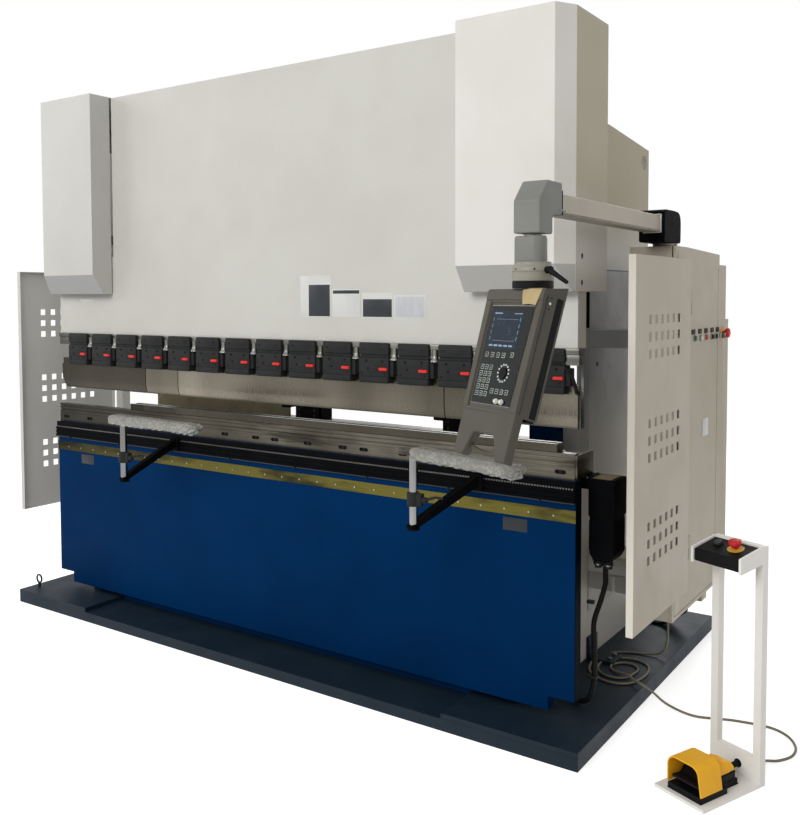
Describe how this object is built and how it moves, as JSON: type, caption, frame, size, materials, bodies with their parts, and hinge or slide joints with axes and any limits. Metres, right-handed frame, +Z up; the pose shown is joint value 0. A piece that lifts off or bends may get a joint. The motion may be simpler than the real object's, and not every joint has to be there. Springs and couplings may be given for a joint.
{
  "type": "hydraulic press brake",
  "caption": "Hydraulic press brake with blue bed, white ram and covers, swing-arm control, perforated side guards, sheet supports and a foot pedal stand.",
  "frame": {"origin": "centre of the machine's width on the underside of its base platform, at floor level", "axes": "+X along the bed to the operator's right, +Y from the operator to the machine's rear, +Z up"},
  "size_m": [4.186, 2.4591, 2.813],
  "materials": {
    "white_paint": "satin off-white paint on sheet steel and the ram, slightly soiled",
    "blue_paint": "glossy deep blue paint on the bed",
    "platform_paint": "dark blue-grey paint on the steel platform, dusty",
    "frame_paint": "mid-grey paint over thick plate",
    "table_steel": "ground steel with a thin oil film",
    "tool_steel": "ground and hardened tool steel",
    "clamp_black": "black oxide on the clamps",
    "rail_black": "black anodised rail and brackets",
    "post_chrome": "hard chrome on the support posts",
    "brass": "dull brass scale strip",
    "control_paint": "fine textured taupe paint on the control box",
    "arm_paint": "grey-green paint on the pendant arm castings",
    "black_plastic": "black moulded plastic",
    "pedal_yellow": "yellow paint on the pedal hood",
    "stop_red": "red moulded plastic",
    "bubble_wrap": "clear bubble wrap round the support arms",
    "cable_grey": "grey-beige cable jacket",
    "cable_black": "black corrugated conduit"
  },
  "bodies": {
    "machine": {"backgauge_rails": "frame_paint", "base_platform": "platform_paint", "bed_beam": "blue_paint", "bed_front_plate": "blue_paint", "bottom_die": "tool_steel", "brass_strip": "brass", "cabinet_body": "white_paint", "cabinet_buttons": "black_plastic", "crowning_drive": "rail_black", "crowning_table": "table_steel", "left_cylinder": "frame_paint", "left_cylinder_cover": "white_paint", "left_guard_post": "white_paint", "left_side_frame": "frame_paint", "motor_cable": "cable_black", "oil_tank": "frame_paint", "pedal_base": "black_plastic", "pedal_cable": "cable_grey", "pedal_gland": "black_plastic", "pedal_hood": "pedal_yellow", "pendant_base": "table_steel", "rear_tie_beam": "frame_paint", "right_cylinder": "frame_paint", "right_cylinder_cover": "white_paint", "right_side_frame": "frame_paint", "stand_box": "black_plastic", "stand_frame": "white_paint", "support_rail": "rail_black"},
    "ram": {"ram_plate": "white_paint", "clamp_row": "clamp_black", "upper_punch": "tool_steel"},
    "pendant_arm": {"arm_beam": "arm_paint", "arm_knuckle": "rail_black", "arm_elbow": "arm_paint"},
    "pendant_head": {"swivel_collar": "arm_paint", "clamp_lever": "black_plastic", "control_box": "control_paint"},
    "left_guard_door": {"left_guard": "white_paint"},
    "right_guard_door": {"right_guard": "white_paint"},
    "left_support": {"left_support_bracket": "rail_black", "left_support_post": "post_chrome"},
    "left_arm": {"left_support_arm": "table_steel", "left_arm_wrap": "bubble_wrap"},
    "right_support": {"right_support_bracket": "rail_black", "right_support_post": "post_chrome"},
    "right_arm": {"right_support_arm": "table_steel", "right_arm_wrap": "bubble_wrap"},
    "backgauge": {"backgauge_beam": "table_steel", "backgauge_left_housing": "blue_paint", "backgauge_right_housing": "blue_paint", "backgauge_left_finger": "rail_black", "backgauge_right_finger": "rail_black"},
    "treadle": {"pedal_treadle": "black_plastic"},
    "cabinet_stop": {"cabinet_stop_button": "stop_red"},
    "stand_stop": {"stand_stop_button": "stop_red"}
  },
  "joints": [
    {"name": "ram_stroke", "type": "slide", "parent": "machine", "child": "ram", "axis": [0, 0, -1], "range_m": [0, 0.055]},
    {"name": "pendant_arm_swing", "type": "hinge", "parent": "machine", "child": "pendant_arm", "pos_m": [1.756, 0.155, 1.9363], "axis": [0, 0, 1], "range_deg": [-8, 60]},
    {"name": "pendant_head_swivel", "type": "hinge", "parent": "pendant_arm", "child": "pendant_head", "pos_m": [1.756, -1.09, 1.9195], "axis": [0, 0, 1], "range_deg": [-90, 90]},
    {"name": "left_guard_hinge", "type": "hinge", "parent": "machine", "child": "left_guard_door", "pos_m": [-1.847, 0.212, 0.668], "axis": [0, 0, -1], "range_deg": [0, 100]},
    {"name": "right_guard_hinge", "type": "hinge", "parent": "machine", "child": "right_guard_door", "pos_m": [1.847, 0.212, 0.668], "axis": [0, 0, 1], "range_deg": [0, 15]},
    {"name": "left_support_slide", "type": "slide", "parent": "machine", "child": "left_support", "axis": [1, 0, 0], "range_m": [-0.6, 0.5]},
    {"name": "left_arm_swing", "type": "hinge", "parent": "left_support", "child": "left_arm", "pos_m": [-0.569, -0.76, 1.1323], "axis": [0, 0, -1], "range_deg": [0, 165]},
    {"name": "right_support_slide", "type": "slide", "parent": "machine", "child": "right_support", "axis": [1, 0, 0], "range_m": [-0.5, 0.25]},
    {"name": "right_arm_swing", "type": "hinge", "parent": "right_support", "child": "right_arm", "pos_m": [1.099, -0.76, 1.1323], "axis": [0, 0, -1], "range_deg": [0, 165]},
    {"name": "backgauge_travel", "type": "slide", "parent": "machine", "child": "backgauge", "axis": [0, 1, 0], "range_m": [-0.13, 0.4]},
    {"name": "pedal_press", "type": "hinge", "parent": "machine", "child": "treadle", "pos_m": [2.1115, -0.4622, 0.0453], "axis": [0.9205, -0.3907, 0], "range_deg": [0, 8], "stiffness_Nm_per_rad": 6, "springref_deg": -171.89},
    {"name": "cabinet_stop_press", "type": "slide", "parent": "machine", "child": "cabinet_stop", "axis": [-1, 0, 0], "range_m": [0, 0.004], "stiffness_N_per_m": 400, "springref_m": -0.002},
    {"name": "stand_stop_press", "type": "slide", "parent": "machine", "child": "stand_stop", "axis": [0.0832, 0.196, -0.9771], "range_m": [0, 0.004], "stiffness_N_per_m": 400, "springref_m": -0.002}
  ]
}
